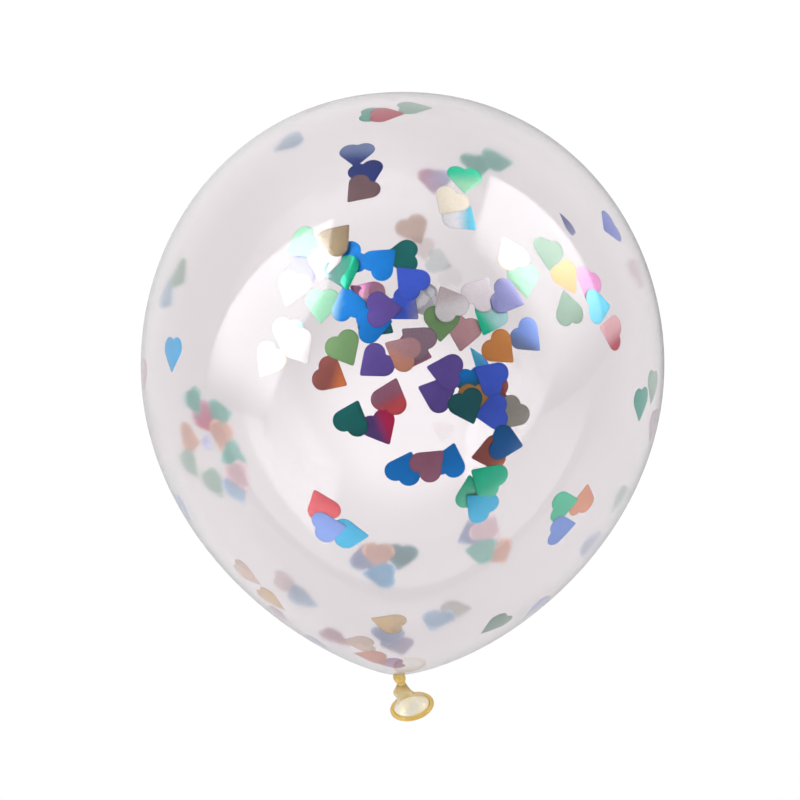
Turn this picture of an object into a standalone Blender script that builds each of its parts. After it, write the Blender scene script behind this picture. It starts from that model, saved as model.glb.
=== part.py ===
# Inflated latex balloon, knotted at the neck and lying on its side.
# Units are metres and +Z is up. The long axis runs along Y, the crown points to +Y and the mouth
# to -Y, and the origin is the middle of the small flat on which the balloon rests.
import math

import bmesh
import bpy
from mathutils import Vector

# Envelope, as inflated
BALLOON_RADIUS = 0.140
CROWN_LENGTH = 0.146  # from the widest section to the crown
SHOULDER_LENGTH = 0.166  # from the widest section to the knot
CROWN_FULLNESS = 0.96  # 1 makes the crown an ellipse, and less is fuller
SHOULDER_TAPER = 1.34  # 1 makes the shoulder an ellipse, and more is a drawn-in pear shape
PULL_POWER = 24  # how late the shoulder is pulled aside to the knot
RESTING_DEPTH = 0.003  # how far the floor presses the side in

# Knot and throat, of unstretched latex
ROOT_RADIUS = 0.0029  # where the envelope runs into the knot
ROOT_SHIFT = -0.0022  # of the root, sideways along X
KNOT_SWELL = 0.0003  # how far the knot bulges past a straight taper from root to throat
KNOT_LENGTH = 0.0046  # from the envelope to the throat
THROAT_RADIUS = 0.0019
THROAT_SHIFT = -0.0007

# Mouth, with its rolled bead
MOUTH_REACH = 0.0150  # from the throat to the middle of the bead's circle
MOUTH_RADIUS = 0.0108  # of the circle along the middle of the bead
BEAD_RADIUS = 0.0012
LATEX_WALL = 0.0004
FLARE_POWER = 2.1  # 1 is a straight cone, and more flares late
REACH_SIDEWAYS = math.radians(24.5)
REACH_DROOP = math.radians(22)
FACING_SIDEWAYS = math.radians(15)
FACING_DROOP = math.radians(33)
HOLLOW_START = 0.16  # share of the reach, from the throat, where the hollow of the mouth begins
FOLD_HEIGHT = 0.0034  # a soft fold of the film, on the side away from the lean
FOLD_PLACE = 0.30  # share of the reach
FOLD_LENGTH = 0.22  # share of the reach

# Gathers round the knot and the mouth
PLEAT_COUNT = 6
PLEAT_DEPTH = 0.16  # share of the radius, over the knot
MOUTH_PLEAT_DEPTH = 0.08  # share of the radius, fading from the throat to the bead
PLEAT_TURN = math.radians(70)  # twist of the gathers over the knot

# Fineness
SEGMENTS = 48
CROWN_RINGS = 15
SHOULDER_RINGS = 20
KNOT_RINGS = 8
MOUTH_RINGS = 9
BEAD_RINGS = 10

LATEX_COLOUR = (0.93, 0.90, 0.91, 1.0)
LATEX_ROUGHNESS = 0.12


def clear_scene():
    for leftover in list(bpy.data.objects):
        bpy.data.objects.remove(leftover)


def pointing(sideways, droop):
    # A unit vector off -Y, turned towards +X and let down towards the floor.
    return Vector(
        (
            math.sin(sideways) * math.cos(droop),
            -math.cos(sideways) * math.cos(droop),
            -math.sin(droop),
        )
    )


def ring(centre, facing, radius_at):
    # The points of a closed section: its centre, the way its plane faces and its radius at each angle.
    turn = Vector((0, -1, 0)).rotation_difference(facing)
    points = []
    for step in range(SEGMENTS):
        angle = 2 * math.pi * step / SEGMENTS
        outward = turn @ Vector((math.cos(angle), 0, math.sin(angle)))
        points.append(centre + outward * radius_at(angle))
    return points


def pleated(radius, depth, twist):
    return lambda angle: radius * (1 + depth * math.cos(PLEAT_COUNT * angle + twist))


def envelope_rings():
    # From the crown to the knot. Equal steps of the slope crowd the rings where the curve is tight.
    axis_height = BALLOON_RADIUS - RESTING_DEPTH
    rings = []
    for step in range(1, CROWN_RINGS + 1):
        slope = math.pi / 2 * step / CROWN_RINGS
        radius = BALLOON_RADIUS * math.sin(slope) ** CROWN_FULLNESS
        centre = Vector((0, CROWN_LENGTH * math.cos(slope), axis_height))
        rings.append(ring(centre, Vector((0, -1, 0)), lambda angle, r=radius: r))
    last_slope = math.acos((ROOT_RADIUS / BALLOON_RADIUS) ** (1 / SHOULDER_TAPER))
    for step in range(1, SHOULDER_RINGS + 1):
        slope = last_slope * step / SHOULDER_RINGS
        radius = BALLOON_RADIUS * math.cos(slope) ** SHOULDER_TAPER
        shift = ROOT_SHIFT * math.sin(slope) ** PULL_POWER
        centre = Vector((shift, -SHOULDER_LENGTH * math.sin(slope), axis_height))
        rings.append(ring(centre, Vector((0, -1, 0)), lambda angle, r=radius: r))
    return rings, centre


def knot_rings(root, facing):
    # The gathered knot draws in to the throat and turns to the way that the mouth faces.
    rings = []
    for step in range(1, KNOT_RINGS + 1):
        share = step / KNOT_RINGS
        swell = math.sin(math.pi * share)
        radius = ROOT_RADIUS + (THROAT_RADIUS - ROOT_RADIUS) * share + KNOT_SWELL * swell
        way = Vector((0, -1, 0)).lerp(facing, share).normalized()
        shift = (THROAT_SHIFT - ROOT_SHIFT) * share
        centre = root + Vector((shift, -KNOT_LENGTH * share, 0))
        depth = PLEAT_DEPTH * math.sqrt(max(swell, 0))
        rings.append(ring(centre, way, pleated(radius, depth, PLEAT_TURN * share)))
    return rings, centre


def mouth_rings(throat, facing):
    # Down the outside of the mouth, round its bead, and back up the inside to the blind end.
    reach = pointing(REACH_SIDEWAYS, REACH_DROOP) * MOUTH_REACH
    depth_along = reach.dot(facing)
    flare = MOUTH_RADIUS - THROAT_RADIUS
    end_angle = math.atan(FLARE_POWER * flare / depth_along)

    def wall_ring(share, offset):
        slope = math.atan(FLARE_POWER * flare / depth_along * share ** (FLARE_POWER - 1))
        radius = THROAT_RADIUS + flare * share**FLARE_POWER + offset * math.cos(slope)
        centre = throat + reach * share - facing * (offset * math.sin(slope))
        gathers = pleated(radius, MOUTH_PLEAT_DEPTH * (1 - share) ** 2, PLEAT_TURN)
        fold = FOLD_HEIGHT * math.exp(-(((share - FOLD_PLACE) / FOLD_LENGTH) ** 2))
        return ring(centre, facing, lambda angle: gathers(angle) + fold * max(0, -math.cos(angle)) ** 2)

    half_wall = LATEX_WALL / 2
    wall_angle = math.asin(half_wall / BEAD_RADIUS)
    wall_end = 1 - BEAD_RADIUS / math.hypot(flare * FLARE_POWER, depth_along)
    outside = [wall_ring(wall_end * step / MOUTH_RINGS, half_wall) for step in range(1, MOUTH_RINGS)]
    bead = []
    for step in range(BEAD_RINGS + 1):
        turned = wall_angle + (2 * math.pi - 2 * wall_angle) * step / BEAD_RINGS
        # Angles run from the wall's own direction, over the outside of the bead, to the inside.
        angle = math.pi + end_angle - turned
        centre = throat + reach + facing * (BEAD_RADIUS * math.cos(angle))
        radius = MOUTH_RADIUS + BEAD_RADIUS * math.sin(angle)
        bead.append(ring(centre, facing, lambda angle, r=radius: r))
    inside = []
    for step in range(MOUTH_RINGS - 1, -1, -1):
        share = HOLLOW_START + (wall_end - HOLLOW_START) * step / MOUTH_RINGS
        inside.append(wall_ring(share, -half_wall))
    return outside + bead + inside, throat + reach * HOLLOW_START


def skin(sections, first_pole, last_pole):
    # Joins each section to the next and closes both ends with a fan.
    mesh = bmesh.new()
    loops = [[mesh.verts.new(point) for point in section] for section in sections]
    for upper, lower in zip(loops, loops[1:]):
        for step in range(SEGMENTS):
            after = (step + 1) % SEGMENTS
            mesh.faces.new((upper[step], upper[after], lower[after], lower[step]))
    for pole, loop in ((first_pole, loops[0]), (last_pole, loops[-1])):
        tip = mesh.verts.new(pole)
        for step in range(SEGMENTS):
            mesh.faces.new((loop[step], loop[(step + 1) % SEGMENTS], tip))
    return mesh


def press_flat(mesh):
    # Cuts the envelope off at the floor and closes it with one flat, sharp-edged face.
    everything = mesh.verts[:] + mesh.edges[:] + mesh.faces[:]
    cut = bmesh.ops.bisect_plane(
        mesh, geom=everything, dist=1e-7, plane_co=(0, 0, 0), plane_no=(0, 0, -1), clear_outer=True
    )
    rim = [item for item in cut["geom_cut"] if isinstance(item, bmesh.types.BMEdge)]
    resting = bmesh.ops.contextual_create(mesh, geom=rim)["faces"]
    for face in mesh.faces:
        face.smooth = face not in resting
    for edge in rim:
        edge.smooth = False


def latex():
    material = bpy.data.materials.new("latex")
    material.use_nodes = True
    shader = material.node_tree.nodes["Principled BSDF"]
    shader.inputs["Base Color"].default_value = LATEX_COLOUR
    shader.inputs["Roughness"].default_value = LATEX_ROUGHNESS
    shader.inputs["Metallic"].default_value = 0.0
    return material


def make_balloon():
    facing = pointing(FACING_SIDEWAYS, FACING_DROOP)
    envelope, root = envelope_rings()
    knot, throat = knot_rings(root, facing)
    mouth, blind_end = mouth_rings(throat, facing)
    crown = Vector((0, CROWN_LENGTH, BALLOON_RADIUS - RESTING_DEPTH))
    mesh = skin(envelope + knot + mouth, crown, blind_end)
    press_flat(mesh)
    bmesh.ops.recalc_face_normals(mesh, faces=mesh.faces)
    data = bpy.data.meshes.new("balloon")
    mesh.to_mesh(data)
    mesh.free()
    data.materials.append(latex())
    balloon = bpy.data.objects.new("balloon", data)
    bpy.context.scene.collection.objects.link(balloon)
    return balloon


def main():
    clear_scene()
    make_balloon()


main()
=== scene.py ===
import math

import bmesh
import bpy
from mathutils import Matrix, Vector
from mathutils.bvhtree import BVHTree
from mathutils.noise import noise


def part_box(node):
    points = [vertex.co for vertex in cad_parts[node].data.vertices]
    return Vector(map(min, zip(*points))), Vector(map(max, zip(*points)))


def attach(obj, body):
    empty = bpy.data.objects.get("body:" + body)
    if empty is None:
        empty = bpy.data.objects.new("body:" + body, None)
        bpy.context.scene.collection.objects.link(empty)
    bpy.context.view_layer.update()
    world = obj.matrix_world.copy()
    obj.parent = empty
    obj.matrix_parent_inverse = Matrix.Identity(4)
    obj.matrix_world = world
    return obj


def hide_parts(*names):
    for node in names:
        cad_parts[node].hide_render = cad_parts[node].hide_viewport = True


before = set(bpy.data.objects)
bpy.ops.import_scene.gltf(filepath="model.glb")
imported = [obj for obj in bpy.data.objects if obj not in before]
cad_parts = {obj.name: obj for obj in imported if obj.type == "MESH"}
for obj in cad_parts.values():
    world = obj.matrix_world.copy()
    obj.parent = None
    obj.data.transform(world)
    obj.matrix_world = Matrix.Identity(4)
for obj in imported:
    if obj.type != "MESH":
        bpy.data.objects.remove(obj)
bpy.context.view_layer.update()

nodeLow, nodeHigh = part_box("balloon")
scene = bpy.context.scene

balloonRadius = (nodeHigh[0] - nodeLow[0]) / 2
restingDepth = 2 * balloonRadius - (nodeHigh[2] - nodeLow[2])  # how far the floor presses the side in
axisHeight = balloonRadius - restingDepth
downNeck = Vector((0, -1, 0))


def report(words):
    print("confetti balloon:", words)


# Shader maths

class Wire:
    # A node's output that takes part in sums, and makes further nodes beside it
    def __init__(self, tree, socket=None):
        self.tree = tree
        self.socket = socket

    def node(self, kind, settings=None, inputs=None, output=0):
        made = self.tree.nodes.new("ShaderNode" + kind)
        for name, value in (settings or {}).items():
            setattr(made, name, value)
        for name, value in (inputs or {}).items():
            if isinstance(value, Wire):
                self.tree.links.new(value.socket, made.inputs[name])
            else:
                made.inputs[name].default_value = value
        return Wire(self.tree, made.outputs[output])

    def sum(self, operation, first, second):
        return self.node("Math", {"operation": operation}, {0: first, 1: second})

    def __add__(self, other):
        return self.sum("ADD", self, other)

    def __radd__(self, other):
        return self.sum("ADD", other, self)

    def __sub__(self, other):
        return self.sum("SUBTRACT", self, other)

    def __rsub__(self, other):
        return self.sum("SUBTRACT", other, self)

    def __mul__(self, other):
        return self.sum("MULTIPLY", self, other)

    def __rmul__(self, other):
        return self.sum("MULTIPLY", other, self)

    def between(self, low, high):
        # 0 below low, 1 above high and smooth from one to the other
        settings = {"interpolation_type": "SMOOTHSTEP"}
        return self.node("MapRange", settings, {"Value": self, "From Min": low, "From Max": high})

    def mix(self, first, second):
        # first where this is 0 and second where it is 1, both colours
        inputs = {0: self, 6: first, 7: second}
        return self.node("Mix", {"data_type": "RGBA"}, inputs, output=2)


def newMaterial(name, constants):
    # Gives the material, its main shader's inputs and a wire to build on
    material = bpy.data.materials.new(name)
    material.use_nodes = True
    shader = material.node_tree.nodes["Principled BSDF"]
    for socket, value in constants.items():
        shader.inputs[socket].default_value = value
    return material, shader, Wire(material.node_tree)


def feed(wire, shader, socket):
    wire.tree.links.new(wire.socket, shader.inputs[socket])


def rgba(red, green, blue):
    return (red, green, blue, 1.0)


# Modelling helpers

startRadius = 0.01  # of a circle that is reshaped at once


def deselect():
    if bpy.context.object and bpy.context.object.mode == "EDIT":
        bpy.ops.object.mode_set(mode="OBJECT")
    bpy.ops.object.select_all(action="DESELECT")


def ring(centre, facing, segments, radiusAt):
    # The points of a closed section, each at radiusAt(angle) from the centre
    turn = downNeck.rotation_difference(facing)
    points = []
    for step in range(segments):
        angle = 2 * math.pi * step / segments
        outward = turn @ Vector((math.cos(angle), 0, math.sin(angle)))
        points.append(centre + outward * radiusAt(angle))
    return points


def drawOut(name, rings, firstPole, lastPole):
    # A circle laid on the first ring, extruded from ring to ring and closed to a point at both ends
    segments = len(rings[0])
    deselect()
    bpy.ops.mesh.primitive_circle_add(vertices=segments, radius=startRadius)
    piece = bpy.context.object
    piece.name = name
    bpy.ops.object.mode_set(mode="EDIT")
    bpy.ops.mesh.select_all(action="SELECT")
    loop = list(range(segments))
    for number, points in enumerate(rings):
        if number:
            bpy.ops.mesh.extrude_edges_move()
        mesh = bmesh.from_edit_mesh(piece.data)
        mesh.verts.ensure_lookup_table()
        mesh.verts.index_update()
        if number:
            loop = [nextAlong(mesh.verts[index]) for index in loop]
        for index, point in zip(loop, points):
            mesh.verts[index].co = point
        bmesh.update_edit_mesh(piece.data)
    closeEnd(piece, lastPole)
    bpy.ops.mesh.select_all(action="DESELECT")
    mesh = bmesh.from_edit_mesh(piece.data)
    mesh.verts.ensure_lookup_table()
    for index in range(segments):
        mesh.verts[index].select = True
    mesh.select_flush_mode()
    for edge in mesh.edges:
        edge.select = edge.verts[0].index < segments and edge.verts[1].index < segments
    bmesh.update_edit_mesh(piece.data)
    closeEnd(piece, firstPole)
    bpy.ops.mesh.select_all(action="SELECT")
    bpy.ops.mesh.normals_make_consistent(inside=False)
    bpy.ops.object.mode_set(mode="OBJECT")
    bpy.ops.object.shade_smooth()
    return piece


def nextAlong(vertex):
    # The index of the newly extruded vertex that a vertex of the last ring leads to
    for edge in vertex.link_edges:
        other = edge.other_vert(vertex)
        if other.select:
            return other.index
    raise ValueError("the ring wasn't drawn out")


def closeEnd(piece, pole):
    # Draws the selected ring out to one point
    bpy.ops.mesh.extrude_edges_move()
    bpy.ops.mesh.merge(type="CENTER")
    mesh = bmesh.from_edit_mesh(piece.data)
    for vertex in mesh.verts:
        if vertex.select:
            vertex.co = pole
    bmesh.update_edit_mesh(piece.data)


def joined(name, parts):
    deselect()
    for part in parts:
        part.select_set(True)
    bpy.context.view_layer.objects.active = parts[0]
    bpy.ops.object.join()
    parts[0].name = name
    return parts[0]


# The latex skin: envelope, knot, throat and mouth in one

skin = {
    "crownFullness": 0.96,
    "shoulderLength": 0.166,
    "shoulderTaper": 1.34,
    "wall": 0.0003,
    "contactEase": 0.0012,  # how softly the side leaves the floor
    "segments": 192,
    "crownRings": 44,
    "shoulderRings": 60,
    "rootRadius": 0.0029,
    "rootShift": -0.0022,
    "pullPower": 24,  # how late the shoulder is pulled aside to the knot
    "leastRadius": 0.0004,  # of a section, once it is moved in
}

clearLatex = {
    "colour": rgba(0.842, 0.816, 0.828),
    "milkColour": rgba(0.803, 0.773, 0.788),
    "roughness": 0.078,
    "IOR": 1.25,  # so thin and soft a film mirrors less than glass
    "cloudScale": 9.0,
    "cloudRange": (0.42, 0.75),  # noise at which a cloud of milk begins and is full
    "cloudMilk": 0.35,  # how milky a cloud, the crown and the neck's end are
    "crownMilk": 0.5,
    "neckMilk": 0.25,
    "crownStart": 0.75,  # share of the crown's length past which it is milkier
    "neckStart": 0.45,  # share of the shoulder's length past which it is milkier
}

amberLatex = {
    "thickColour": rgba(0.74, 0.52, 0.14),
    "thinColour": rgba(0.93, 0.86, 0.66),
    "milkyColour": rgba(0.83, 0.79, 0.72),
    "roughness": 0.14,
    "IOR": 1.3,
    "clearness": 0.8,
    "fade": 0.0075,  # from the throat, over which the gathers' amber thins out
    "knotThickness": 0.95,  # these two are shares of the bead's full amber
    "filmThickness": 0.08,
    "beadReach": 1.15,  # times the bead's radius
    "mottleScale": 140.0,
    "mottleRange": (0.4, 0.62),
    "leastAmber": 0.75,  # share of the thick colour where the mottling is least
    "mottleAmber": 0.5,  # what the mottling adds to it
}

knot = {
    "swell": 0.0003,
    "length": 0.0046,
    "throatRadius": 0.0019,
    "throatShift": -0.0007,
    "pleats": 6,
    "pleatDepth": 0.16,
    "finePleats": 17,
    "finePleatDepth": 0.045,
    "turn": math.radians(70),
    "fineTurn": 2.3,  # how much more the finer creases turn
    "rings": 18,
}

mouth = {
    "reach": 0.0150,
    "radius": 0.0108,
    "bead": 0.0012,
    "wall": 0.0004,
    "flarePower": 2.1,
    "reachSideways": math.radians(24.5),
    "reachDroop": math.radians(22),
    "facingSideways": math.radians(15),
    "facingDroop": math.radians(33),
    "hollowStart": 0.16,  # share of the reach at which the hollow begins
    "foldHeight": 0.0034,
    "foldPlace": 0.30,
    "foldLength": 0.22,
    "pleatDepth": 0.08,
    "rings": 28,
    "beadRings": 18,
}


def pressed(point, clearance=0):
    # The floor flattens the lowest part of the side, softly
    ease = skin["contactEase"]
    lift = (math.hypot(restingDepth, ease) - restingDepth) / 2
    height = point.z - clearance
    point.z = (height + math.hypot(height, ease)) / 2 - lift + clearance
    return point


def profilePoint(slope, onShoulder):
    # Distance from the axis and place along Y
    if onShoulder:
        radius = balloonRadius * math.cos(slope) ** skin["shoulderTaper"]
        along = -skin["shoulderLength"] * math.sin(slope)
    else:
        radius = balloonRadius * math.sin(slope) ** skin["crownFullness"]
        along = nodeHigh[1] * math.cos(slope)
    return Vector((radius, along))


def envelopeProfile():
    # From near the crown to the root of the knot
    profile = []
    for step in range(1, skin["crownRings"] + 1):
        profile.append(profilePoint(math.pi / 2 * step / skin["crownRings"], False))
    lastSlope = math.acos((skin["rootRadius"] / balloonRadius) ** (1 / skin["shoulderTaper"]))
    for step in range(1, skin["shoulderRings"] + 1):
        profile.append(profilePoint(lastSlope * step / skin["shoulderRings"], True))
    return profile


def envelopeRings(inward):
    # The envelope's sections, moved in along its own normal by the thickness asked for
    profile = envelopeProfile()
    rings = []
    for number, point in enumerate(profile):
        before = profile[max(number - 1, 0)]
        after = profile[min(number + 1, len(profile) - 1)]
        tangent = (after - before).normalized()
        moved = point + Vector((tangent.y, -tangent.x)) * inward
        share = -point.y / skin["shoulderLength"]
        shift = skin["rootShift"] * max(share, 0) ** skin["pullPower"]
        centre = Vector((shift, moved.y, axisHeight))
        radius = max(moved.x, skin["leastRadius"])
        section = ring(centre, downNeck, skin["segments"], lambda angle, r=radius: r)
        rings.append([pressed(place, inward) for place in section])
    return rings, centre


def pointing(sideways, droop):
    # Off -Y, turned towards +X and let down towards the floor
    flat = math.cos(droop)
    return Vector((math.sin(sideways) * flat, -math.cos(sideways) * flat, -math.sin(droop)))


def gathered(radius, depth, fineDepth, twist):
    # Broad gathers with finer creases between them
    def radiusAt(angle):
        broad = depth * math.cos(knot["pleats"] * angle + twist)
        fine = fineDepth * math.cos(knot["finePleats"] * angle - knot["fineTurn"] * twist)
        return radius * (1 + broad + fine)
    return radiusAt


def knotRings(root, facing):
    rings = []
    for step in range(1, knot["rings"] + 1):
        share = step / knot["rings"]
        swell = max(math.sin(math.pi * share), 0)
        taper = skin["rootRadius"] + (knot["throatRadius"] - skin["rootRadius"]) * share
        way = downNeck.lerp(facing, share).normalized()
        shift = (knot["throatShift"] - skin["rootShift"]) * share
        centre = root + Vector((shift, -knot["length"] * share, 0))
        radius = taper + knot["swell"] * swell
        depth = knot["pleatDepth"] * math.sqrt(swell)
        radiusAt = gathered(radius, depth, knot["finePleatDepth"], knot["turn"] * share)
        rings.append(ring(centre, way, skin["segments"], radiusAt))
    return rings, centre


def mouthRings(throat, facing):
    # Down the outside of the mouth, round its bead, and back up the inside to the blind end
    reach = pointing(mouth["reachSideways"], mouth["reachDroop"]) * mouth["reach"]
    depthAlong = reach.dot(facing)
    flare = mouth["radius"] - knot["throatRadius"]
    power = mouth["flarePower"]
    bead = mouth["bead"]

    def wallRing(share, offset):
        slope = math.atan(power * flare / depthAlong * share ** (power - 1))
        radius = knot["throatRadius"] + flare * share ** power + offset * math.cos(slope)
        centre = throat + reach * share - facing * (offset * math.sin(slope))
        fade = (1 - share) ** 2
        offFold = (share - mouth["foldPlace"]) / mouth["foldLength"]
        fold = mouth["foldHeight"] * math.exp(-(offFold ** 2))
        gathers = gathered(radius, mouth["pleatDepth"] * fade, knot["finePleatDepth"] * fade, knot["turn"])
        return ring(centre, facing, skin["segments"],
                    lambda angle: gathers(angle) + fold * max(0, -math.cos(angle)) ** 2)

    halfWall = mouth["wall"] / 2
    wallAngle = math.asin(halfWall / bead)
    wallEnd = 1 - bead / math.hypot(flare * power, depthAlong)
    outside = [wallRing(wallEnd * step / mouth["rings"], halfWall) for step in range(1, mouth["rings"])]
    endAngle = math.atan(power * flare / depthAlong)
    rolled = []
    for step in range(mouth["beadRings"] + 1):
        turned = wallAngle + (2 * math.pi - 2 * wallAngle) * step / mouth["beadRings"]
        angle = math.pi + endAngle - turned
        centre = throat + reach + facing * (bead * math.cos(angle))
        radius = mouth["radius"] + bead * math.sin(angle)
        rolled.append(ring(centre, facing, skin["segments"], lambda angle, r=radius: r))
    inside = []
    for step in range(mouth["rings"] - 1, -1, -1):
        share = mouth["hollowStart"] + (wallEnd - mouth["hollowStart"]) * step / mouth["rings"]
        inside.append(wallRing(share, -halfWall))
    return outside + rolled + inside, throat + reach * mouth["hollowStart"]


def filmMaterial():
    # Clear latex, faintly pink grey, thicker and milkier towards the crown and the knot
    constants = {"Transmission Weight": 1.0, "IOR": clearLatex["IOR"], "Roughness": clearLatex["roughness"]}
    material, shader, start = newMaterial("clearLatex", constants)
    place = start.node("TexCoord", output=3)
    along = start.node("SeparateXYZ", {}, {0: place}, output=1)
    noiseInputs = {"Vector": place, "Scale": clearLatex["cloudScale"], "Detail": 3.0}
    cloud = start.node("TexNoise", {}, noiseInputs).between(*clearLatex["cloudRange"])
    crown = along.between(nodeHigh[1] * clearLatex["crownStart"], nodeHigh[1])
    shoulder = -skin["shoulderLength"]
    neckEnd = 1 - along.between(shoulder, shoulder * clearLatex["neckStart"])
    ends = crown * clearLatex["crownMilk"] + neckEnd * clearLatex["neckMilk"]
    milk = cloud * clearLatex["cloudMilk"] + ends
    feed(milk.mix(clearLatex["colour"], clearLatex["milkColour"]), shader, "Base Color")
    return material


def amberMaterial():
    # The unstretched latex of the knot and mouth: amber where thick, pale and milky in the thin film
    constants = {"Transmission Weight": amberLatex["clearness"], "IOR": amberLatex["IOR"],
                 "Roughness": amberLatex["roughness"]}
    material, shader, start = newMaterial("amberLatex", constants)
    place = start.node("TexCoord", output=3)
    noiseInputs = {"Vector": place, "Scale": amberLatex["mottleScale"], "Detail": 3.0}
    mottle = start.node("TexNoise", {}, noiseInputs)
    thick = start.node("Attribute", {"attribute_name": "thick"}, output=2)
    milky = mottle.between(*amberLatex["mottleRange"])
    thin = milky.mix(amberLatex["thinColour"], amberLatex["milkyColour"])
    amber = thick * (amberLatex["leastAmber"] + amberLatex["mottleAmber"] * mottle)
    feed(amber.mix(thin, amberLatex["thickColour"]), shader, "Base Color")
    return material


def markThickness(piece, throat, facing):
    # 1 in the bead, and from nearly 1 in the knot fading out into the thin film of the mouth
    middle = throat + pointing(mouth["reachSideways"], mouth["reachDroop"]) * mouth["reach"]
    thick = piece.data.attributes.new(name="thick", type="FLOAT", domain="POINT")
    for vertex in piece.data.vertices:
        offset = vertex.co - middle
        axial = offset.dot(facing)
        radial = (offset - facing * axial).length
        inBead = math.hypot(axial, radial - mouth["radius"]) < mouth["bead"] * amberLatex["beadReach"]
        pastThroat = max(throat.y - vertex.co.y, 0)
        gathers = amberLatex["knotThickness"] - pastThroat / amberLatex["fade"]
        thick.data[vertex.index].value = 1.0 if inBead else max(gathers, amberLatex["filmThickness"])


def makeSkin():
    facing = pointing(mouth["facingSideways"], mouth["facingDroop"])
    outerRings, root = envelopeRings(0)
    knotPart, throat = knotRings(root, facing)
    mouthPart, blindEnd = mouthRings(throat, facing)
    crown = pressed(Vector((0, nodeHigh[1], axisHeight)))
    outer = drawOut("skinOutside", outerRings + knotPart + mouthPart, crown, blindEnd)
    innerRings, innerRoot = envelopeRings(skin["wall"])
    innerCrown = pressed(Vector((0, nodeHigh[1] - skin["wall"], axisHeight)), skin["wall"])
    inner = drawOut("skinInside", innerRings, innerCrown, innerRoot)
    bpy.ops.object.mode_set(mode="EDIT")
    bpy.ops.mesh.select_all(action="SELECT")
    bpy.ops.mesh.flip_normals()
    bpy.ops.object.mode_set(mode="OBJECT")
    wallTree = BVHTree.FromPolygons([vertex.co.copy() for vertex in inner.data.vertices],
                                    [list(face.vertices) for face in inner.data.polygons])
    piece = joined("balloonSkin", [outer, inner])
    piece.data.materials.append(filmMaterial())
    piece.data.materials.append(amberMaterial())
    for face in piece.data.polygons:
        face.material_index = 1 if face.center.y < root.y else 0
    markThickness(piece, throat, facing)
    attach(piece, "root")
    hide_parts("balloon")
    report("skin of %d faces" % len(piece.data.polygons))
    return wallTree


# Foil hearts, each its own thin sheet bent to the wall it clings to

confetti = {
    "width": 0.0188,
    "lobeRadius": 0.30,  # these four are shares of the width
    "lobeAside": 0.20,
    "tipReach": 0.70,  # from the line through the lobes' centres
    "tipRounding": 0.035,
    "tipBluntness": 0.7,  # these two are shares of the tip's rounding
    "tipSpread": 1.6,
    "edgePoints": (0.3, 0.55, 0.8),  # along the straight edge, from the tip to the lobe
    "lobeSteps": 12,
    "innerRings": (0.93, 0.78, 0.6),  # each is this share of the last one's size
    "paintedEdgeShade": 0.7,  # painted shade: share of the foil's brightness left on each heart's outline, so it darkens towards its edge
    "thickness": 0.00012,
    "wallGap": 0.0003,
    "layerStep": 0.00035,
    "roughness": (0.34, 0.5),
    "metal": 0.3,
    # Painted light: near hearts' colours are brightened, far ones' paled and brightened more, standing in
    # for the light and the film's milky veil
    "nearBrightness": 1.12,
    "farBrightness": 1.46,
    "farPaleness": 0.25,  # of the far hearts, painted light: their colours pale towards a bright tone for the film's milky veil over them
    "farVeilTone": 0.9,  # the tone of the painted veil that they pale towards
    "farLimit": 0.95,
    "grainScale": 1300.0,
    "sheenScale": 62.0,  # of the painted sheen, a slow lightening and darkening over a sheet
    "creaseScale": 170.0,
    "waveScale": 190.0,  # of the crumpled hearts
    "waveLift": 0.0009,
    "waveHeight": 0.0016,
    "fineWave": (0.5, 2.3),  # height and scale of the finer waves, as shares of the broad ones
    "steepest": 0.12,  # least share by which a wall faces the camera, as a tip is laid on it
    "pastWall": 0.001,  # how far past the near wall the sight line to the far one starts
    "plainShade": 0.65,  # of the colour, to which the grain and the painted sheen add
    "grainShade": 0.36,
    "sheenShade": 0.34,
    "bumpStrength": 0.25,
    "bumpDepth": 0.0004,
    "grainBump": 0.12,
    "sharpAngle": math.radians(50),
    "turnSoftness": 0.3,  # of the change from the first colour to the second, as a share of the width
}

# What each foil looks like in plain light, as 0 to 255 screen values
foils = {
    "wine": (172, 66, 80),
    "crimson": (216, 44, 98),
    "plum": (104, 78, 150),
    "violet": (118, 97, 189),
    "cobalt": (26, 50, 124),
    "royal": (73, 110, 239),
    "azure": (2, 149, 248),
    "steel": (0, 100, 170),
    "sky": (32, 192, 238),
    "harbour": (70, 152, 196),
    "cyan": (93, 199, 225),
    "periwinkle": (136, 172, 248),
    "paleBlue": (248, 251, 255),
    "lavender": (156, 161, 216),
    "slate": (110, 130, 170),
    "dusk": (80, 98, 172),
    "darkTeal": (30, 112, 118),
    "darkGreen": (18, 120, 116),
    "emerald": (14, 208, 160),
    "green": (92, 215, 174),
    "olive": (136, 182, 122),
    "sage": (128, 164, 146),
    "jade": (104, 142, 118),
    "seaGreen": (62, 158, 140),
    "mint": (152, 216, 178),
    "aqua": (178, 228, 228),
    "bronze": (152, 136, 104),
    "gold": (255, 222, 150),
    "amber": (242, 202, 132),
    "honey": (222, 164, 96),
    "orange": (225, 150, 79),
    "rust": (162, 90, 82),
    "flame": (250, 144, 86),
    "coral": (242, 97, 106),
    "salmon": (255, 182, 150),
    "apricot": (255, 148, 124),
    "peach": (255, 226, 202),
    "rose": (212, 166, 171),
    "mauve": (184, 122, 148),
    "brown": (118, 92, 95),
    "greyMauve": (166, 140, 158),
    "pink": (204, 132, 182),
    "lilac": (204, 168, 208),
    "warmGrey": (172, 170, 158),
    "silver": (216, 204, 206),
    "white": (250, 250, 250),
    "cream": (252, 245, 224),
    "pearl": (255, 250, 255),
}
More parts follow.
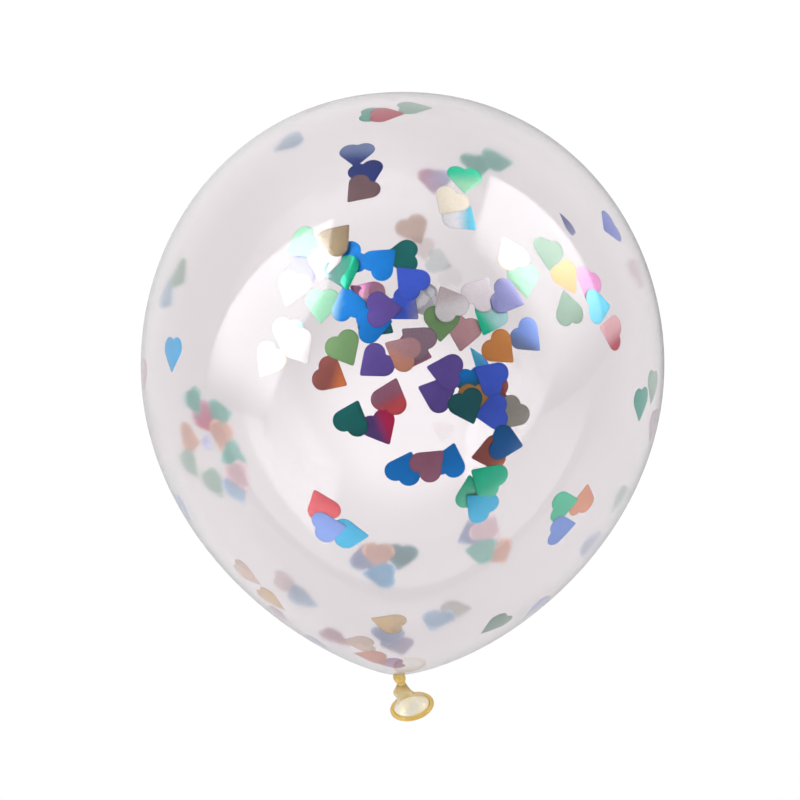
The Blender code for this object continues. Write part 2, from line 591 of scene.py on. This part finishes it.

# Each heart: its foil, how far across and along the balloon its middle shows, in millimetres from
# the widest section's middle, the way its tip points in degrees, its layer, and what else it has.
# Layer 0 touches the wall. "to" is a second colour, met going the way of "way" in degrees, "from"
# that share of the width; it is partly a second foil tint and partly painted highlight and painted
# shade across the sheet. "clear" is how far the film is see-through, "scale" its size, "lean" how
# far it tilts off the wall in degrees, and "crumple" how much it is waved.
nearHearts = {
    "crownHearts": [
        ("wine", -8, 134.5, 2, 0, {}),
        ("seaGreen", -13.5, 135, 2, 1, {}),
        ("sage", 7, 138, 0, 0, {}),
        ("cobalt", -24.6, 112.5, -95, 0, {"to": "slate", "way": 90}),
        ("cobalt", -19, 102.5, -70, 1, {}),
        ("brown", -23, 93.5, -136, 0, {}),
        ("mint", 33.4, 99, -90, 0, {"to": "emerald", "way": 90, "from": 0.55}),
        ("cream", 25, 87, -127, 0, {}),
        ("paleBlue", 32.4, 78.6, -39, 1, {"to": "cyan", "way": 0}),
    ],
    "leftHearts": [
        ("mint", -54.8, 64.5, -148, 1, {}),
        ("bronze", -35, 68.5, 48, 0, {"to": "cream", "way": -150, "from": 0.95}),
        ("white", -42.5, 54.5, -100, 1, {}),
        ("azure", -30, 57, -150, 6, {}),
        ("azure", -10.8, 56, 42, 1, {}),
        ("lavender", -54.3, 50.3, -30, 3, {}),
        ("white", -59.7, 40.7, -110, 2, {}),
        ("emerald", -32, 49, -75, 0, {"to": "aqua", "way": 180, "from": 0.62, "crumple": 0.8}),
        ("mint", -43.6, 31.6, -95, 3, {}),
        ("azure", -29.7, 34, 102, 2, {"to": "aqua", "way": 170, "from": 0.75}),
        ("pink", -20.6, 38.5, 150, 5, {"to": "rose", "way": -60, "crumple": 1.2}),
        ("aqua", -62.3, 15.5, -100, 2, {}),
        ("white", -55.4, 8.6, -60, 1, {}),
        ("cream", -72, 1.6, -120, 0, {}),
        ("harbour", -123.3, 5.4, -92, 0, {}),
    ],
    "middleHearts": [
        ("darkGreen", -1.6, 58.6, 180, 2, {}),
        ("royal", 3.7, 45.8, 136, 1, {}),
        ("royal", 1.3, 31, -40, 2, {"to": "lavender", "way": -10, "from": 0.7}),
        ("paleBlue", 11.8, 33.5, -60, 3, {"crumple": 0.5}),
        ("violet", -9.4, 30, 2, 0, {}),
        ("azure", -14.7, 22, 10, 1, {}),
        ("darkTeal", -13, 22.5, -32, 2, {}),
        ("olive", -30.8, 8, -62, 0, {}),
        ("violet", -15.5, 0.5, -141, 1, {}),
        ("rust", -38, -6.2, -30, 1, {"to": "flame", "way": -20, "from": 0.62}),
        ("mauve", -6.2, -16, 72, 0, {"to": "coral", "way": -60, "from": 0.62}),
        ("darkGreen", -26.8, -27.7, 71, 0, {}),
        ("plum", -11.6, -34.5, -61, 1, {"to": "crimson", "way": 20, "from": 0.55}),
        ("greyMauve", 7.3, 13.7, 143, 2, {}),
        ("rose", -1, 7.5, 152, 1, {"to": "salmon", "way": -110, "from": 0.6}),
        ("mauve", 6.7, 6.7, -15, 3, {}),
    ],
    "rightHearts": [
        ("silver", 24.8, 34, 118, 0, {"to": "white", "way": -75, "from": 0.5}),
        ("olive", 21, 22, -93, 4, {}),
        ("rose", 33, 16.7, -100, 5, {}),
        ("pearl", 42, 39.5, 60, 1, {}),
        ("lavender", 57, 36, -21, 0, {}),
        ("mint", 65.5, 45, -80, 1, {}),
        ("cream", 58, 60.5, 115, 0, {}),
        ("emerald", 46.8, 24.6, -110, 2, {"to": "aqua", "way": 35, "from": 0.45}),
        ("sky", 43.6, 3, 125, 5, {"to": "azure", "way": -55, "scale": 0.9, "lean": 48}),
        ("orange", 53, 8, -45, 0, {}),
        ("periwinkle", 67.8, 14.4, -46, 1, {"to": "slate", "way": -120, "from": 0.62}),
        ("jade", 78.6, 59, -88, 0, {}),
        ("honey", 88.5, 46.5, -62, 1, {}),
        ("jade", 88.8, 31, 105, 0, {}),
        ("pink", 100.3, 42.8, -100, 2, {}),
        ("cyan", 105.7, 31.6, 3, 0, {}),
        ("rose", 111.8, 18.2, 160, 1, {"to": "wine", "way": -45, "from": 0.7}),
        ("dusk", 92, 79, 125, 1, {"to": "lavender", "way": -55, "scale": 0.78, "lean": 46}),
        ("dusk", 111, 74, -150, 0, {}),
    ],
    "heapHearts": [
        ("violet", 22.2, -3, 168, 0, {}),
        ("violet", 17.3, -15, 160, 1, {}),
        ("azure", 38.5, -11, -80, 4, {"to": "darkTeal", "way": -80, "from": 0.36}),
        ("honey", 39.3, -19.8, -90, 3, {}),
        ("royal", 46.8, -6, 150, 2, {}),
        ("rust", 48.4, -15.5, 180, 6, {}),
        ("darkTeal", 35, -23, -69, 0, {}),
        ("royal", 47.3, -25.7, -172, 1, {}),
        ("warmGrey", 58.3, -27.3, -130, 2, {}),
        ("steel", 56.4, -42, -10, 0, {}),
        ("rust", 46, -47.6, -166, 1, {"to": "flame", "way": -60, "from": 0.85}),
        ("azure", 1.3, -54.8, 67, 1, {}),
        ("mauve", 15, -52.3, 43, 0, {}),
        ("azure", 25.3, -50.7, 74, 1, {}),
        ("emerald", 44.9, -60.9, 150, 0, {"to": "green", "way": -60, "from": 0.85, "scale": 1.1}),
        ("green", 37.4, -67.6, 100, 3, {"to": "emerald", "way": 80, "from": 0.7}),
        ("sky", 41, -75, 144, 0, {}),
    ],
    "shoulderHearts": [
        ("coral", -43.7, -75, 115, 1, {}),
        ("periwinkle", -38.8, -87, 2, 0, {}),
        ("sky", -27.3, -91, -5, 1, {}),
        ("green", 87.5, -75, 20, 1, {}),
        ("salmon", 97.6, -72, 75, 2, {}),
        ("periwinkle", 86, -87.7, 20, 0, {}),
        ("sage", 134, -12.3, -95, 0, {}),
        ("seaGreen", 128, -21.5, -95, 1, {}),
        ("greyMauve", 134, -32.6, -100, 0, {}),
        ("sage", 49.5, -139, -145, 0, {}),
        ("lavender", 72, -129.5, -140, 0, {}),
        ("peach", -83, -112, -40, 0, {"clear": 0.5}),
        ("amber", -70, -125.7, -40, 0, {"clear": 0.5}),
        ("gold", -8.3, -138, 165, 0, {"clear": 0.45}),
        ("peach", -24, -149, 170, 0, {"clear": 0.5}),
        ("salmon", -17.5, -156.5, 170, 1, {"clear": 0.35}),
        ("lilac", -7.5, -160.4, 178, 2, {"clear": 0.3, "scale": 0.9}),
        ("pink", -66, -133.5, -40, 0, {"clear": 0.6, "scale": 0.8}),
        ("lavender", -45.5, -148.5, -30, 0, {"clear": 0.5, "scale": 0.8}),
        ("mauve", -138.4, -5.4, -90, 0, {"clear": 0.5}),
        ("periwinkle", -117, -77.5, -60, 0, {"clear": 0.55}),
        ("greyMauve", -44.5, 138.5, 20, 0, {"clear": 0.55}),
    ],
}

farHearts = {
    "lyingUpperHearts": [
        ("periwinkle", -62, 119, -150, 0, {}),
        ("mauve", 17, 98.5, -93, 0, {"to": "lavender", "way": 0}),
        ("seaGreen", 40, 107, -75, 0, {}),
        ("seaGreen", 52, 110, -10, 1, {}),
        ("flame", 6.2, 72, -60, 0, {"clear": 0.55}),
        ("apricot", 11, 62, -80, 1, {"clear": 0.8, "scale": 0.75}),
        ("seaGreen", 20, 55, -20, 0, {"clear": 0.82, "scale": 0.8}),
        ("greyMauve", 25.4, 49, 100, 1, {"clear": 0.92, "scale": 0.75}),
        ("periwinkle", -126, 37, -70, 0, {}),
        ("sage", -120, 48, -60, 1, {}),
        ("rose", 125.5, 51, 90, 0, {"clear": 0.6}),
    ],
    "lyingLeftHearts": [
        ("seaGreen", -112, -20, -70, 1, {"scale": 0.85}),
        ("crimson", -106, -29, -60, 0, {"to": "mauve", "way": 120}),
        ("seaGreen", -97.6, -26.8, 10, 0, {}),
        ("apricot", -113.7, -39.6, -20, 0, {}),
        ("apricot", -97.6, -38.5, -90, 1, {}),
        ("lavender", -104.6, -42, -60, 0, {"scale": 0.5}),
        ("seaGreen", -92.3, -49, -150, 1, {}),
        ("sage", -113.7, -53.5, -60, 0, {}),
        ("sage", -101, -64, -60, 0, {}),
        ("rose", -88, -60.5, -60, 2, {}),
        ("periwinkle", -89, -67.5, -60, 0, {}),
    ],
    "lyingLowerHearts": [
        ("apricot", -13, -102.7, -90, 1, {}),
        ("harbour", -13, -113, 175, 2, {}),
        ("slate", -20, -103, 100, 0, {}),
        ("darkTeal", -1, -103.3, -100, 0, {}),
        ("slate", 37, -91, -150, 0, {}),
        ("rose", 45.5, -87.5, 60, 1, {}),
        ("seaGreen", 41.5, -99.5, 180, 1, {}),
        ("apricot", 52, -101, -60, 0, {}),
        ("rose", -61.3, -117.7, -30, 0, {"clear": 0.6}),
        ("periwinkle", -53.2, -125.7, -30, 1, {"clear": 0.45}),
        ("mauve", -35.6, -146.6, -30, 0, {"clear": 0.4}),
        ("slate", -8, -146, -90, 1, {}),
        ("plum", -2, -151, -60, 0, {"clear": 0.55}),
        ("warmGrey", 29, -131.6, 10, 0, {"clear": 0.5}),
        ("periwinkle", 18.5, -137.5, -120, 1, {}),
        ("sage", 116, -73, -120, 0, {}),
        ("slate", 100, -97.5, -120, 0, {}),
        ("rose", 22, -36, -100, 0, {"clear": 0.92, "scale": 0.6}),
    ],
}


def screenToLinear(colour):
    return [((value / 255 + 0.055) / 1.055) ** 2.4 for value in colour]


# Near hearts get brightened colours, far ones paled and brightened ones: painted light
def foilColour(name, far):
    colour = screenToLinear(foils[name])
    if not far:
        brightness = min(confetti["nearBrightness"], 1 / max(colour))
        return [value * brightness for value in colour]
    veilTone, pale = confetti["farVeilTone"], confetti["farPaleness"]
    paled = [(value + (veilTone - value) * pale) * confetti["farBrightness"] for value in colour]
    return [min(value, confetti["farLimit"]) for value in paled]


def heartOutline():
    # One heart on shares of its width, its tip towards +X, as a ring of points round its middle
    lobe, aside, reach = confetti["lobeRadius"], confetti["lobeAside"], confetti["tipReach"]
    lean = math.atan2(aside, reach) + math.asin(lobe / math.hypot(aside, reach))
    edge = Vector((-math.cos(lean), math.sin(lean)))
    tip = Vector((reach, 0))
    touch = tip + edge * math.sqrt(reach**2 + aside**2 - lobe**2)
    rounding = confetti["tipRounding"]
    blunt, spread = rounding * confetti["tipBluntness"], rounding * confetti["tipSpread"]
    half = [tip - Vector((blunt, 0)), tip + edge * spread]
    half += [tip.lerp(touch, share) for share in confetti["edgePoints"]]
    first = math.pi / 2 - lean
    last = math.pi + math.asin(aside / lobe)
    for step in range(confetti["lobeSteps"] + 1):
        angle = first + (last - first) * step / confetti["lobeSteps"]
        half.append(Vector((lobe * math.cos(angle), aside + lobe * math.sin(angle))))
    mirrored = [Vector((point.x, -point.y)) for point in reversed(half[1:-1])]
    middle = Vector(((reach - lobe) / 2, 0))
    return [point - middle for point in half + mirrored]


def makeStencil():
    # The one flat heart that all the others are copied from, in metres
    outline = heartOutline()
    deselect()
    bpy.ops.mesh.primitive_circle_add(vertices=len(outline), radius=startRadius, fill_type="NGON")
    stencil = bpy.context.object
    stencil.name = "heartStencil"
    bpy.ops.object.mode_set(mode="EDIT")
    mesh = bmesh.from_edit_mesh(stencil.data)
    mesh.verts.ensure_lookup_table()
    for vertex, point in zip(mesh.verts, outline):
        vertex.co = (point.x * confetti["width"], point.y * confetti["width"], 0)
    bmesh.update_edit_mesh(stencil.data)
    bpy.ops.mesh.select_all(action="SELECT")
    for share in confetti["innerRings"]:
        bpy.ops.mesh.extrude_region_move()
        bpy.ops.transform.resize(value=(share, share, 1), center_override=(0, 0, 0))
    bpy.ops.mesh.poke()
    bpy.ops.object.mode_set(mode="OBJECT")
    return stencil


def wallUnder(wallTree, across, along, far):
    # Where the sight line through a place beside the widest section meets the near or far wall
    eye = scene.camera.location
    aim = (Vector((across, along, axisHeight)) - eye).normalized()
    place, normal, face, distance = wallTree.ray_cast(eye, aim)
    if far and place:
        place, normal, face, distance = wallTree.ray_cast(place + aim * confetti["pastWall"], aim)
    if not place:
        raise ValueError("no wall at %g, %g" % (across, along))
    return place


def seenDirection(degrees):
    # A direction as the picture shows it, counted from +X towards the crown
    angle = math.radians(degrees)
    return Vector((math.cos(angle), math.sin(angle), 0))


def heartAxes(normal, tip):
    # The ways to a heart's tip and side along the wall, so that its tip shows the way asked for
    seenTip = seenDirection(tip)
    flat = math.copysign(max(abs(normal.z), confetti["steepest"]), normal.z)
    toTip = (seenTip - Vector((0, 0, seenTip.dot(normal) / flat))).normalized()
    return toTip, normal.cross(toTip).normalized()


def waveAt(place):
    # How high a crumpled sheet stands there, as broad waves with finer ones on them
    height, scale = confetti["fineWave"]
    broad = place * confetti["waveScale"]
    return noise(broad) + height * noise(broad * scale)


def layHeart(stencil, wallTree, heart, far):
    foil, across, along, tip, layer, extras = heart
    place = wallUnder(wallTree, across / 1000, along / 1000, far)
    nearest, normal, face, distance = wallTree.find_nearest(place)
    toTip, toSide = heartAxes(normal, tip)
    scale = extras.get("scale", 1)
    lean = math.radians(extras.get("lean", 0))
    crumple = extras.get("crumple", 0)
    seenWay = seenDirection(extras.get("way", 0))
    turnAt = extras.get("from", 0.5)
    # Both faces of a sheet take their part, so each lets through the square root
    cover = 1 - math.sqrt(extras.get("clear", 0))
    first, second = [foilColour(name, far) for name in (foil, extras.get("to", foil))]

    data = stencil.data.copy()
    piece = bpy.data.objects.new("heart", data)
    scene.collection.objects.link(piece)
    tint = data.color_attributes.new(name="foil", type="FLOAT_COLOR", domain="POINT")
    gap = confetti["wallGap"] + layer * confetti["layerStep"]
    half = confetti["width"] / 2
    rimCount = len(heartOutline())  # the outline's own points come first
    for vertex in data.vertices:
        ahead, aside = vertex.co.x * scale, vertex.co.y * scale
        rough = place + toTip * ahead + toSide * aside * math.cos(lean)
        onWall, inward, face, distance = wallTree.find_nearest(rough)
        lift = (aside + half * scale) * math.sin(lean)
        wave = confetti["waveLift"] + confetti["waveHeight"] * waveAt(rough)
        away = gap + lift + crumple * wave
        vertex.co = onWall + inward * max(away, confetti["wallGap"])
        # The second colour, partly a foil tint and partly painted highlight and shade, takes over past
        # "from"
        share = (vertex.co - place).dot(seenWay) / (2 * half) + 0.5
        blend = min(max((share - turnAt) / confetti["turnSoftness"] + 0.5, 0), 1)
        # Painted shade darkens the outline's points
        shade = confetti["paintedEdgeShade"] if vertex.index < rimCount else 1
        mixed = [(a + (b - a) * blend) * shade for a, b in zip(first, second)]
        tint.data[vertex.index].color = mixed + [cover]
    return piece


def foilMaterial():
    # Printed metal foil: each heart's own colour, a fine grain, faint creases and a painted sheen that
    # slowly lightens and darkens each sheet
    material, shader, start = newMaterial("heartFoil", {"Metallic": confetti["metal"], "IOR": 1.5})
    colour = start.node("Attribute", {"attribute_name": "foil"})
    cover = start.node("Attribute", {"attribute_name": "foil"}, output=3)
    place = start.node("TexCoord", output=3)
    grain, crease, sheen = [
        start.node("TexNoise", {}, {"Vector": place, "Scale": confetti[scale], "Detail": detail})
        for scale, detail in (("grainScale", 2.0), ("creaseScale", 3.0), ("sheenScale", 1.0))
    ]
    # The sheen noise is painted light and shade in the colour's brightness
    value = confetti["plainShade"] + grain * confetti["grainShade"] + sheen * confetti["sheenShade"]
    shade = start.node("HueSaturation", {}, {"Value": value, "Color": colour})
    feed(shade, shader, "Base Color")
    feed(cover, shader, "Alpha")
    smooth, matt = confetti["roughness"]
    feed(smooth + crease * (matt - smooth), shader, "Roughness")
    height = crease + grain * confetti["grainBump"]
    bumpInputs = {"Strength": confetti["bumpStrength"], "Distance": confetti["bumpDepth"], "Height": height}
    feed(start.node("Bump", {}, bumpInputs), shader, "Normal")
    return material


def makeConfetti(wallTree):
    stencil = makeStencil()
    material = foilMaterial()
    count = 0
    for clusters, far in ((nearHearts, False), (farHearts, True)):
        for name, hearts in clusters.items():
            laid = [layHeart(stencil, wallTree, heart, far) for heart in hearts]
            piece = joined(name, laid)
            bpy.ops.object.mode_set(mode="EDIT")
            bpy.ops.mesh.select_all(action="SELECT")
            bpy.ops.mesh.normals_make_consistent(inside=False)
            bpy.ops.object.mode_set(mode="OBJECT")
            solidify = piece.modifiers.new("thickness", "SOLIDIFY")
            solidify.thickness = confetti["thickness"]
            solidify.offset = 0
            bpy.ops.object.modifier_apply(modifier=solidify.name)
            bpy.ops.object.shade_smooth_by_angle(angle=confetti["sharpAngle"])
            piece.data.materials.append(material)
            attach(piece, "root")
            count += len(hearts)
    bpy.data.objects.remove(stencil)
    report("%d hearts laid" % count)


# Studio

studio = {
    "cameraAbove": 3.0,  # over the balloon's axis
    "frameWidth": 0.428,  # what the picture spans, measured at the axis
    "cameraAcross": -0.00133,
    "cameraAlong": -0.01867,
    "sensor": 36.0,
    "floorRadius": 14.0,
    "floorSides": 96,
    "floorGap": 0.0003,
    "floorShade": 0.055,
    "floorGlow": 0.955,
    "floorFarGlow": 0.8,
    "underShade": 0.3,  # the dimmer floor that only reflections and stray light see
    "underGlow": 0.62,
    "underFarGlow": 0.25,
    # Painted pools of light on the table under the balloon: middle, radii of the fade, added glow
    "paintedLightSpots": [((-0.002, -0.03, 0), 0.022, 0.078, 0.41), ((-0.02, 0.08, 0), 0.02, 0.075, 0.15)],
    # Painted shade and painted light on the dimmer floor, for the balloon's rim to mirror, in the same form
    "paintedUnderShadeAndLight": [((0, 0, 0), 0.165, 0.225, -0.25), ((0.14, 0.13, 0), 0.08, 0.27, -0.32),
                   ((-0.75, -1.2, 0), 0.6, 1.2, 1.4),
                   ((0.8, -1.2, 0), 0.6, 1.2, 1.4)],
    "brightReach": 0.31,  # radius of the floor that is evenly bright
    "dimReach": 0.75,
    "zenith": 0.17,
    "horizon": 0.6,
    "bandTop": (14, 38),  # degrees up, from where the band round the horizon fades and to where
    "neckFill": 2.6,  # soft light from beyond the neck, up to the degrees below
    "neckFillTop": (16, 34),
    "neckFillAhead": (0.0, 0.5),  # how far towards the neck it starts and is full
    "boxGlow": {"leftBox": (10.4, 9.6), "rightBox": (9.0, 5.8)},  # towards the crown and the neck
    "boxAcross": 0.55,
    "boxTurn": (0.0, 0.5),  # places along Y between which the neck's glow becomes the crown's
    # Over what share the glow fades in from the neck, crown, low and high edges
    "boxSoftness": {"leftBox": (0.22, 0.06, 0.04, 0.12), "rightBox": (0.2, 0.1, 0.04, 0.45)},
    # Corners as places along Y and heights: low by the neck and crown, high by the crown and neck
    "leftBox": [(-0.07, 0.16), (1.10, 0.71), (0.52, 1.00), (-0.23, 0.51)],
    "rightBox": [(0.04, 0.12), (1.14, 0.12), (0.90, 0.95), (-0.19, 0.46)],
}


def makeCamera():
    data = bpy.data.cameras.new("camera")
    data.sensor_width = studio["sensor"]
    data.lens = studio["sensor"] * studio["cameraAbove"] / studio["frameWidth"]
    camera = bpy.data.objects.new("camera", data)
    scene.collection.objects.link(camera)
    camera.location = (studio["cameraAcross"], studio["cameraAlong"], axisHeight + studio["cameraAbove"])
    scene.camera = camera


def makeFloor(name, depth, shade, glow, farGlow, spots):
    deselect()
    bpy.ops.mesh.primitive_circle_add(
        vertices=studio["floorSides"], radius=studio["floorRadius"], fill_type="NGON")
    floor = bpy.context.object
    floor.name = name
    floor.location.z = -depth
    constants = {"Base Color": rgba(*[shade] * 3), "Roughness": 0.6, "Specular IOR Level": 0.1,
                 "Emission Strength": 1.0}
    material, shader, start = newMaterial(name + "White", constants)
    place = start.node("TexCoord", output=3)
    distance = start.node("VectorMath", {"operation": "LENGTH"}, {0: place}, output=1)
    spread = distance.between(studio["brightReach"], studio["dimReach"])
    light = glow + spread * (farGlow - glow)
    # Each spot adds painted light to the glow, and painted shade where its added glow is negative
    for middle, fadeFrom, fadeTo, extra in spots:
        offSpot = start.node("VectorMath", {"operation": "DISTANCE"}, {0: place, 1: middle}, output=1)
        light = light + (1 - offSpot.between(fadeFrom, fadeTo)) * extra
    feed(light, shader, "Emission Color")
    floor.data.materials.append(material)
    return floor


def makeBox(name, corners):
    # A soft light's flat front, brighter towards the crown and fading at its edges
    deselect()
    bpy.ops.mesh.primitive_plane_add(size=1)
    box = bpy.context.object
    box.name = name
    for index, corner in zip((0, 1, 3, 2), corners):
        box.data.vertices[index].co = corner
    crownGlow, neckGlow = studio["boxGlow"][name]
    constants = {"Base Color": rgba(0, 0, 0), "Emission Strength": 1.0}
    material, shader, start = newMaterial(name + "Glow", constants)
    along = start.node("SeparateXYZ", {}, {0: start.node("TexCoord", output=3)}, output=1)
    light = neckGlow + along.between(*studio["boxTurn"]) * (crownGlow - neckGlow)
    neckEdge, crownEdge, lowEdge, highEdge = studio["boxSoftness"][name]
    for axis, firstEdge, lastEdge in ((0, neckEdge, crownEdge), (1, lowEdge, highEdge)):
        share = start.node("SeparateXYZ", {}, {0: start.node("TexCoord", output=2)}, output=axis)
        light = light * share.between(0, firstEdge) * (1 - share.between(1 - lastEdge, 1))
    feed(light, shader, "Emission Color")
    box.data.materials.append(material)
    box.visible_camera = False


def makeWorld():
    # A bright band round the horizon and a soft fill beyond the neck, under a dark ceiling
    world = bpy.data.worlds.new("studioRoom")
    scene.world = world
    world.use_nodes = True
    background = world.node_tree.nodes["Background"]
    start = Wire(world.node_tree)
    direction = start.node("TexCoord", output=0)
    forward = start.node("SeparateXYZ", {}, {0: direction}, output=1)
    height = start.node("SeparateXYZ", {}, {0: direction}, output=2)

    def under(degrees):
        low, high = (math.sin(math.radians(angle)) for angle in degrees)
        return 1 - height.between(low, high)

    band = under(studio["bandTop"]) * (studio["horizon"] - studio["zenith"])
    ahead = (0 - forward).between(*studio["neckFillAhead"])
    fill = ahead * under(studio["neckFillTop"]) * studio["neckFill"]
    strength = band + fill + studio["zenith"]
    world.node_tree.links.new(strength.socket, background.inputs["Strength"])
    background.inputs["Color"].default_value = rgba(1, 1, 1)


def makeStudio():
    makeCamera()
    gap = studio["floorGap"]
    shown = makeFloor("floor", gap, studio["floorShade"], studio["floorGlow"], studio["floorFarGlow"],
                      studio["paintedLightSpots"])
    shown.visible_glossy = shown.visible_diffuse = shown.visible_shadow = False
    makeFloor("floorUnder", 2 * gap, studio["underShade"], studio["underGlow"], studio["underFarGlow"],
              studio["paintedUnderShadeAndLight"])
    for name, side in (("leftBox", -1), ("rightBox", 1)):
        across = side * studio["boxAcross"]
        makeBox(name, [(across, along, height) for along, height in studio[name]])
    makeWorld()
    scene.view_settings.view_transform = "Standard"
    report("studio ready")


makeStudio()
makeConfetti(makeSkin())
